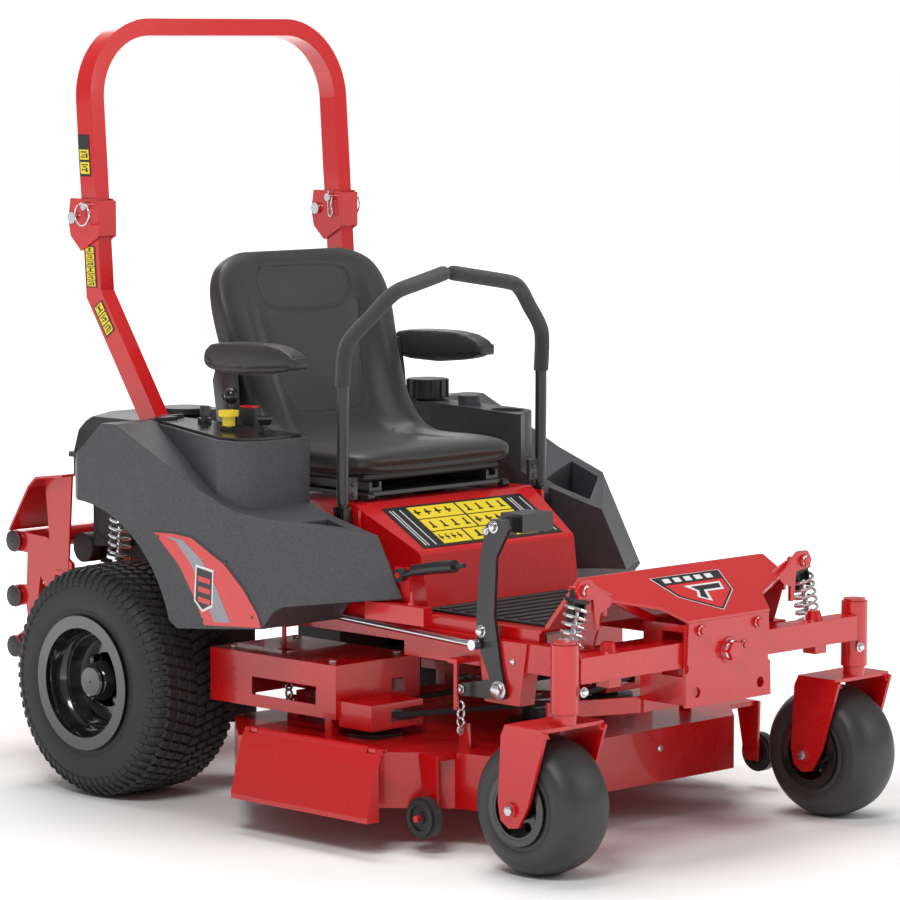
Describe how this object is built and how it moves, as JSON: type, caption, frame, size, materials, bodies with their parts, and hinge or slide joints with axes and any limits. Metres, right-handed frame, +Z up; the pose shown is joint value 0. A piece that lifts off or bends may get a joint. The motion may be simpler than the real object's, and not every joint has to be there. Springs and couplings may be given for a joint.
{
  "type": "zero turn mower",
  "caption": "Ride-on zero turn mower with a folding roll bar, swing-out control levers, suspended axles, front casters and a side-discharge deck that lifts with a foot pedal.",
  "frame": {"origin": "on the ground, at the middle of the machine's length and width", "axes": "+Z up, -Y is the way the machine faces, -X is the operator's right hand"},
  "size_m": [1.194, 1.986, 1.6927],
  "materials": {
    "red_paint": "gloss",
    "black_paint": "satin",
    "grey_paint": "satin",
    "textured_plastic": "matte",
    "gloss_black_plastic": "gloss",
    "rubber": "matte",
    "tyre": "matte",
    "steel": "satin",
    "zinc": "gloss",
    "cast": "matte",
    "alu": "satin",
    "vinyl": "satin",
    "yellow_plastic": "gloss",
    "spring_paint": "gloss"
  },
  "bodies": {
    "chassis": {"main_frame": "red_paint", "front_box": "red_paint", "front_cover": "red_paint", "foot_pan": "red_paint", "foot_mat": "rubber", "console_cover": "red_paint", "fender_right": "textured_plastic", "fender_left": "textured_plastic", "control_panel": "gloss_black_plastic", "rops_legs": "red_paint", "rops_pins": "zinc", "shock_bodies": "spring_paint", "front_springs": "spring_paint", "rear_springs": "spring_paint", "height_selector": "red_paint"},
    "roll_bar": {"rops_hoop": "red_paint"},
    "front_axle": {"front_axle_beam": "red_paint", "front_shock_rods": "steel"},
    "caster_right": {"caster_fork_right": "red_paint"},
    "caster_left": {"caster_fork_left": "red_paint"},
    "caster_wheel_right": {"caster_tyre_right": "tyre", "caster_rim_right": "black_paint"},
    "caster_wheel_left": {"caster_tyre_left": "tyre", "caster_rim_left": "black_paint"},
    "rear_cradle": {"rear_frame": "red_paint", "engine_block": "cast", "air_cleaner": "gloss_black_plastic", "transaxles": "alu", "rear_shock_rods": "steel"},
    "rear_wheel_right": {"rear_tyre_right": "tyre", "rear_rim_right": "black_paint"},
    "rear_wheel_left": {"rear_tyre_left": "tyre", "rear_rim_left": "black_paint"},
    "lever_base_right": {"lever_pivot_right": "black_paint"},
    "lever_base_left": {"lever_pivot_left": "black_paint"},
    "lever_right": {"control_lever_right": "black_paint"},
    "lever_left": {"control_lever_left": "black_paint"},
    "seat_mount": {"seat_rails": "black_paint"},
    "seat": {"seat": "vinyl"},
    "armrest_right": {"armrest_right": "vinyl"},
    "armrest_left": {"armrest_left": "vinyl"},
    "deck": {"deck_shell": "red_paint", "belt_covers": "red_paint", "spindle_housings": "cast", "drive_belts": "rubber", "lift_chains": "black_paint"},
    "chute": {"discharge_chute": "red_paint"},
    "blade_right": {"blade_right": "steel"},
    "blade_center": {"blade_center": "steel"},
    "blade_left": {"blade_left": "steel"},
    "scalp_wheel_right": {"scalp_wheel_right": "rubber"},
    "scalp_wheel_left": {"scalp_wheel_left": "rubber"},
    "lift_pedal": {"lift_pedal": "black_paint"},
    "lift_rod": {"lift_rod": "zinc"},
    "parking_brake": {"parking_brake": "black_paint"},
    "throttle": {"throttle_lever": "black_paint"},
    "pto_knob": {"pto_knob": "yellow_plastic"},
    "choke_knob": {"choke_knob": "gloss_black_plastic"},
    "ignition_key": {"ignition_key": "zinc"},
    "fuel_cap": {"fuel_cap": "gloss_black_plastic"}
  },
  "joints": [
    {"name": "roll_bar_fold", "type": "hinge", "parent": "chassis", "child": "roll_bar", "pos_m": [0, 0.6375, 1.253], "axis": [-1, 0, 0], "range_deg": [0, 120]},
    {"name": "front_axle_rock", "type": "hinge", "parent": "chassis", "child": "front_axle", "pos_m": [0, -0.912, 0.412], "axis": [0, 1, 0], "range_deg": [-2.5, 2.5], "deforming": ["front_springs"]},
    {"name": "caster_swivel_right", "type": "hinge", "parent": "front_axle", "child": "caster_right", "pos_m": [-0.445, -0.912, 0.398], "axis": [0, 0, 1], "continuous": true},
    {"name": "caster_spin_right", "type": "hinge", "parent": "caster_right", "child": "caster_wheel_right", "pos_m": [-0.445, -0.853, 0.14], "axis": [1, 0, 0], "continuous": true},
    {"name": "caster_swivel_left", "type": "hinge", "parent": "front_axle", "child": "caster_left", "pos_m": [0.445, -0.912, 0.398], "axis": [0, 0, 1], "continuous": true},
    {"name": "caster_spin_left", "type": "hinge", "parent": "caster_left", "child": "caster_wheel_left", "pos_m": [0.445, -0.853, 0.14], "axis": [1, 0, 0], "continuous": true},
    {"name": "rear_suspension", "type": "hinge", "parent": "chassis", "child": "rear_cradle", "pos_m": [0, 0.128, 0.41], "axis": [1, 0, 0], "range_deg": [-2.1, 2.1], "deforming": ["rear_springs"]},
    {"name": "rear_wheel_spin_right", "type": "hinge", "parent": "rear_cradle", "child": "rear_wheel_right", "pos_m": [-0.44, 0.418, 0.254], "axis": [1, 0, 0], "continuous": true},
    {"name": "rear_wheel_spin_left", "type": "hinge", "parent": "rear_cradle", "child": "rear_wheel_left", "pos_m": [0.44, 0.418, 0.254], "axis": [1, 0, 0], "continuous": true},
    {"name": "lever_drive_right", "type": "hinge", "parent": "chassis", "child": "lever_base_right", "pos_m": [-0.302, -0.127, 0.63], "axis": [1, 0, 0], "range_deg": [-12, 15]},
    {"name": "lever_swing_right", "type": "hinge", "parent": "lever_base_right", "child": "lever_right", "pos_m": [-0.302, -0.127, 0.652], "axis": [0, 1, 0], "range_deg": [-32, 0]},
    {"name": "lever_drive_left", "type": "hinge", "parent": "chassis", "child": "lever_base_left", "pos_m": [0.302, -0.127, 0.63], "axis": [1, 0, 0], "range_deg": [-12, 15]},
    {"name": "lever_swing_left", "type": "hinge", "parent": "lever_base_left", "child": "lever_left", "pos_m": [0.302, -0.127, 0.652], "axis": [0, 1, 0], "range_deg": [0, 32]},
    {"name": "seat_tilt", "type": "hinge", "parent": "chassis", "child": "seat_mount", "pos_m": [0, -0.108, 0.6736], "axis": [1, 0, 0], "range_deg": [0, 14]},
    {"name": "seat_slide", "type": "slide", "parent": "seat_mount", "child": "seat", "axis": [0, 1, 0], "range_m": [-0.04, 0.03]},
    {"name": "armrest_pivot_right", "type": "hinge", "parent": "seat", "child": "armrest_right", "pos_m": [-0.285, 0.283, 0.95], "axis": [-1, 0, 0], "range_deg": [0, 80]},
    {"name": "armrest_pivot_left", "type": "hinge", "parent": "seat", "child": "armrest_left", "pos_m": [0.285, 0.283, 0.95], "axis": [-1, 0, 0], "range_deg": [0, 80]},
    {"name": "deck_lift", "type": "slide", "parent": "chassis", "child": "deck", "axis": [0, 0, 1], "range_m": [-0.0097, 0.0235]},
    {"name": "lift_pedal_swing", "type": "hinge", "parent": "chassis", "child": "lift_pedal", "pos_m": [-0.318, -0.621, 0.329], "axis": [1, 0, 0], "range_deg": [-5, 12]},
    {"name": "lift_rod_travel", "type": "slide", "parent": "chassis", "child": "lift_rod", "axis": [0, 1, 0], "range_m": [-0.0192, 0.008]},
    {"name": "chute_flip", "type": "hinge", "parent": "deck", "child": "chute", "pos_m": [-0.552, -0.307, 0.213], "axis": [0, 1, 0], "range_deg": [0, 75]},
    {"name": "blade_spin_right", "type": "hinge", "parent": "deck", "child": "blade_right", "pos_m": [-0.355, -0.277, 0.2], "axis": [0, 0, 1], "continuous": true},
    {"name": "blade_spin_center", "type": "hinge", "parent": "deck", "child": "blade_center", "pos_m": [0, -0.407, 0.2], "axis": [0, 0, 1], "continuous": true},
    {"name": "blade_spin_left", "type": "hinge", "parent": "deck", "child": "blade_left", "pos_m": [0.355, -0.277, 0.2], "axis": [0, 0, 1], "continuous": true},
    {"name": "scalp_spin_right", "type": "hinge", "parent": "deck", "child": "scalp_wheel_right", "pos_m": [-0.474, -0.549, 0.076], "axis": [1, 0, 0], "continuous": true},
    {"name": "scalp_spin_left", "type": "hinge", "parent": "deck", "child": "scalp_wheel_left", "pos_m": [0.568, -0.546, 0.082], "axis": [1, 0, 0], "continuous": true},
    {"name": "parking_brake_swing", "type": "hinge", "parent": "chassis", "child": "parking_brake", "pos_m": [-0.346, -0.348, 0.541], "axis": [-1, 0, 0], "range_deg": [0, 40]},
    {"name": "throttle_swing", "type": "hinge", "parent": "chassis", "child": "throttle", "pos_m": [-0.361, 0.148, 0.8], "axis": [1, 0, 0], "range_deg": [-20, 20]},
    {"name": "pto_pull", "type": "slide", "parent": "chassis", "child": "pto_knob", "axis": [0, 0, 1], "range_m": [0, 0.014]},
    {"name": "choke_pull", "type": "slide", "parent": "chassis", "child": "choke_knob", "axis": [0, 0, 1], "range_m": [0, 0.02]},
    {"name": "key_turn", "type": "hinge", "parent": "chassis", "child": "ignition_key", "pos_m": [-0.398, 0.201, 0.836], "axis": [0, 0, 1], "range_deg": [-75, 0]},
    {"name": "fuel_cap_turn", "type": "hinge", "parent": "chassis", "child": "fuel_cap", "pos_m": [0.38, 0.306, 0.85], "axis": [0, 0, 1], "range_deg": [0, 120]}
  ],
  "couplings": [
    {"joint": "deck_lift", "follows": "lift_pedal_swing", "m_per_rad": 0.11},
    {"joint": "lift_rod_travel", "follows": "lift_pedal_swing", "m_per_rad": -0.09},
    {"joint": "blade_spin_right", "follows": "blade_spin_center", "ratio": 1},
    {"joint": "blade_spin_left", "follows": "blade_spin_center", "ratio": 1}
  ]
}
